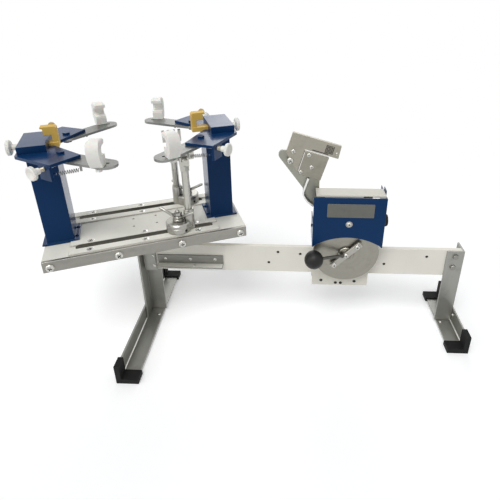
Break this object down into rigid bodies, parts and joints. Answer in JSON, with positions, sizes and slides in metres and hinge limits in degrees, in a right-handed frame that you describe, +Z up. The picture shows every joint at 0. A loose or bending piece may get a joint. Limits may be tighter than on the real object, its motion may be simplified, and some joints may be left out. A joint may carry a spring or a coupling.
{
  "type": "racket stringing machine",
  "caption": "Tabletop racket stringing machine: turntable with frame holders and string clamps, and a crank driven tension head riding on a rail.",
  "frame": {"origin": "centre of the bounding box, on the level that the feet stand on", "axes": "+X along the rail from the turntable to the tension head's end, -Y towards the crank side, +Z up"},
  "size_m": [0.7292, 0.3006, 0.393],
  "materials": {
    "cream_paint": "satin cream powder coat",
    "cream_plate": "satin cream powder coat, worn along the slots",
    "angle_aluminium": "mill finish extruded angle",
    "bar_steel": "brushed flat bar",
    "blue_paint": "glossy navy blue enamel",
    "cap_rubber": "moulded black",
    "ball_plastic": "glossy black",
    "dial_plastic": "black knurled",
    "hook_pad": "golden tan moulded pad",
    "holder_nylon": "warm white nylon",
    "knob_plastic": "off white moulded knobs",
    "arm_steel": "zinc plated flat bar",
    "spring_steel": "bright spring wire",
    "clamp_chrome": "polished and turned steel",
    "crank_steel": "brushed disc with turned marks",
    "machined_steel": "machined steel",
    "lever_steel": "zinc plated plate",
    "gripper_steel": "ground tool steel"
  },
  "bodies": {
    "base": {"rail": "cream_paint", "rail_rack": "machined_steel", "left_leg": "angle_aluminium", "right_leg": "angle_aluminium", "left_foot": "angle_aluminium", "right_foot": "angle_aluminium", "left_front_cap": "cap_rubber", "left_back_cap": "cap_rubber", "right_front_cap": "cap_rubber", "right_back_cap": "cap_rubber", "table_bracket": "angle_aluminium", "table_bearing": "angle_aluminium"},
    "turntable": {"table_spindle": "machined_steel", "table_plate": "cream_plate", "front_bar": "bar_steel", "back_bar": "bar_steel", "left_post": "blue_paint", "right_post": "blue_paint", "left_head": "blue_paint", "right_head": "blue_paint", "left_front_arm_spring": "spring_steel", "left_back_arm_spring": "spring_steel", "right_front_arm_spring": "spring_steel", "right_back_arm_spring": "spring_steel"},
    "left_hook": {"left_hook": "hook_pad"},
    "right_hook": {"right_hook": "hook_pad"},
    "left_hook_screw": {"left_hook_screw": "knob_plastic"},
    "right_hook_screw": {"right_hook_screw": "knob_plastic"},
    "left_front_arm": {"left_front_arm": "arm_steel", "left_front_holder": "holder_nylon"},
    "left_front_arm_screw": {"left_front_arm_screw": "knob_plastic"},
    "left_back_arm": {"left_back_arm": "arm_steel", "left_back_holder": "holder_nylon"},
    "left_back_arm_screw": {"left_back_arm_screw": "knob_plastic"},
    "right_front_arm": {"right_front_arm": "arm_steel", "right_front_holder": "holder_nylon"},
    "right_front_arm_screw": {"right_front_arm_screw": "knob_plastic"},
    "right_back_arm": {"right_back_arm": "arm_steel", "right_back_holder": "holder_nylon"},
    "right_back_arm_screw": {"right_back_arm_screw": "knob_plastic"},
    "front_clamp_base": {"front_clamp_base": "clamp_chrome"},
    "front_clamp_lock": {"front_clamp_lock": "clamp_chrome"},
    "front_clamp_post": {"front_clamp_post": "clamp_chrome"},
    "front_clamp_jaw": {"front_clamp_jaw": "clamp_chrome"},
    "back_clamp_base": {"back_clamp_base": "clamp_chrome"},
    "back_clamp_lock": {"back_clamp_lock": "clamp_chrome"},
    "back_clamp_post": {"back_clamp_post": "clamp_chrome"},
    "back_clamp_jaw": {"back_clamp_jaw": "clamp_chrome"},
    "carriage": {"carriage_front_plate": "cream_paint", "carriage_body": "cream_paint", "head_cover": "blue_paint", "head_top_plate": "cream_paint", "tension_spring": "spring_steel"},
    "crank": {"crank": "crank_steel", "pinion_shaft": "machined_steel"},
    "ball_knob": {"ball_knob": "ball_plastic"},
    "tension_lever": {"tension_lever": "lever_steel", "gripper_fixed_jaw": "gripper_steel"},
    "gripper_moving_jaw": {"gripper_moving_jaw": "gripper_steel"},
    "tension_knob": {"tension_knob": "dial_plastic"}
  },
  "joints": [
    {"name": "turntable_spin", "type": "hinge", "parent": "base", "child": "turntable", "pos_m": [-0.19447, 0.01066, 0.18], "axis": [0, 0, 1], "continuous": true},
    {"name": "left_hook_slide", "type": "slide", "parent": "turntable", "child": "left_hook", "axis": [-0.9302, -0.367, 0], "range_m": [-0.006, 0.0045]},
    {"name": "left_hook_screw_spin", "type": "hinge", "parent": "turntable", "child": "left_hook_screw", "pos_m": [-0.34331, -0.04806, 0.36], "axis": [-0.9302, -0.367, 0], "range_deg": [-271, 204]},
    {"name": "right_hook_slide", "type": "slide", "parent": "turntable", "child": "right_hook", "axis": [0.9302, 0.367, 0], "range_m": [-0.006, 0.0045]},
    {"name": "right_hook_screw_spin", "type": "hinge", "parent": "turntable", "child": "right_hook_screw", "pos_m": [-0.04564, 0.06938, 0.36], "axis": [0.9302, 0.367, 0], "range_deg": [-271, 204]},
    {"name": "left_front_arm_swing", "type": "hinge", "parent": "turntable", "child": "left_front_arm", "pos_m": [-0.27135, -0.06697, 0.352], "axis": [0, 0, 1], "range_deg": [0, 8], "stiffness_Nm_per_rad": 0.4, "springref_deg": -6.88, "deforming": ["left_front_arm_spring"]},
    {"name": "left_front_arm_screw_spin", "type": "hinge", "parent": "turntable", "child": "left_front_arm_screw", "pos_m": [-0.27566, -0.1044, 0.3512], "axis": [-0.4073, -0.9133, 0], "range_deg": [-1, 161]},
    {"name": "left_back_arm_swing", "type": "hinge", "parent": "turntable", "child": "left_back_arm", "pos_m": [-0.30364, 0.01489, 0.352], "axis": [0, 0, -1], "range_deg": [0, 8], "stiffness_Nm_per_rad": 0.4, "springref_deg": -6.88, "deforming": ["left_back_arm_spring"]},
    {"name": "left_back_arm_screw_spin", "type": "hinge", "parent": "turntable", "child": "left_back_arm_screw", "pos_m": [-0.33235, 0.03929, 0.3512], "axis": [-0.9212, 0.3892, 0], "range_deg": [-1, 161]},
    {"name": "right_front_arm_swing", "type": "hinge", "parent": "turntable", "child": "right_front_arm", "pos_m": [-0.0853, 0.00643, 0.352], "axis": [0, 0, -1], "range_deg": [0, 8], "stiffness_Nm_per_rad": 0.4, "springref_deg": -6.88, "deforming": ["right_front_arm_spring"]},
    {"name": "right_front_arm_screw_spin", "type": "hinge", "parent": "turntable", "child": "right_front_arm_screw", "pos_m": [-0.05659, -0.01798, 0.3512], "axis": [0.9212, -0.3892, 0], "range_deg": [-1, 161]},
    {"name": "right_back_arm_swing", "type": "hinge", "parent": "turntable", "child": "right_back_arm", "pos_m": [-0.1176, 0.08829, 0.352], "axis": [0, 0, 1], "range_deg": [0, 8], "stiffness_Nm_per_rad": 0.4, "springref_deg": -6.88, "deforming": ["right_back_arm_spring"]},
    {"name": "right_back_arm_screw_spin", "type": "hinge", "parent": "turntable", "child": "right_back_arm_screw", "pos_m": [-0.11328, 0.12572, 0.3512], "axis": [0.4073, 0.9133, 0], "range_deg": [-1, 161]},
    {"name": "front_clamp_slide", "type": "slide", "parent": "turntable", "child": "front_clamp_base", "axis": [0.9302, 0.367, 0], "range_m": [-0.149, 0.045]},
    {"name": "front_clamp_lock_turn", "type": "hinge", "parent": "front_clamp_base", "child": "front_clamp_lock", "pos_m": [-0.12848, -0.01491, 0.23], "axis": [0, 0, 1], "range_deg": [-60, 0]},
    {"name": "front_clamp_post_turn", "type": "hinge", "parent": "front_clamp_base", "child": "front_clamp_post", "pos_m": [-0.11174, -0.0083, 0.27], "axis": [0, 0, 1], "range_deg": [-60, 60]},
    {"name": "front_clamp_jaw_open", "type": "hinge", "parent": "front_clamp_post", "child": "front_clamp_jaw", "pos_m": [-0.1109, -0.01044, 0.331], "axis": [0.9302, 0.367, 0], "range_deg": [0, 10]},
    {"name": "back_clamp_slide", "type": "slide", "parent": "turntable", "child": "back_clamp_base", "axis": [0.9302, 0.367, 0], "range_m": [-0.1785, 0.0155]},
    {"name": "back_clamp_lock_turn", "type": "hinge", "parent": "back_clamp_base", "child": "back_clamp_lock", "pos_m": [-0.13628, 0.08522, 0.23], "axis": [0, 0, 1], "range_deg": [-60, 0]},
    {"name": "back_clamp_post_turn", "type": "hinge", "parent": "back_clamp_base", "child": "back_clamp_post", "pos_m": [-0.15302, 0.07861, 0.27], "axis": [0, 0, 1], "range_deg": [-60, 60]},
    {"name": "back_clamp_jaw_open", "type": "hinge", "parent": "back_clamp_post", "child": "back_clamp_jaw", "pos_m": [-0.15386, 0.08075, 0.331], "axis": [-0.9302, -0.367, 0], "range_deg": [0, 10]},
    {"name": "carriage_slide", "type": "slide", "parent": "base", "child": "carriage", "axis": [1, 0, 0], "range_m": [-0.04, 0.12]},
    {"name": "crank_turn", "type": "hinge", "parent": "carriage", "child": "crank", "pos_m": [0.15153, 0.01066, 0.1625], "axis": [0, 1, 0], "range_deg": [-210, 627]},
    {"name": "ball_knob_spin", "type": "hinge", "parent": "crank", "child": "ball_knob", "pos_m": [0.09653, -0.03934, 0.1655], "axis": [-0.9439, -0.3261, 0.0515], "continuous": true},
    {"name": "tension_lever_swing", "type": "hinge", "parent": "carriage", "child": "tension_lever", "pos_m": [0.11753, 0.01066, 0.24], "axis": [0, 1, 0], "range_deg": [-15, 0], "stiffness_Nm_per_rad": 4, "springref_deg": 17.19, "deforming": ["tension_spring"]},
    {"name": "gripper_jaw_slide", "type": "slide", "parent": "tension_lever", "child": "gripper_moving_jaw", "axis": [0.2823, 0, 0.9593], "range_m": [0, 0.0018]},
    {"name": "tension_knob_turn", "type": "hinge", "parent": "carriage", "child": "tension_knob", "pos_m": [0.21053, 0.01066, 0.214], "axis": [1, 0, 0], "continuous": true}
  ],
  "couplings": [
    {"joint": "left_hook_screw_spin", "follows": "left_hook_slide", "rad_per_m": 785.4},
    {"joint": "right_hook_screw_spin", "follows": "right_hook_slide", "rad_per_m": 785.4},
    {"joint": "left_front_arm_screw_spin", "follows": "left_front_arm_swing", "ratio": 20},
    {"joint": "left_back_arm_screw_spin", "follows": "left_back_arm_swing", "ratio": 20},
    {"joint": "right_front_arm_screw_spin", "follows": "right_front_arm_swing", "ratio": 20},
    {"joint": "right_back_arm_screw_spin", "follows": "right_back_arm_swing", "ratio": 20},
    {"joint": "crank_turn", "follows": "carriage_slide", "rad_per_m": 90.909}
  ]
}
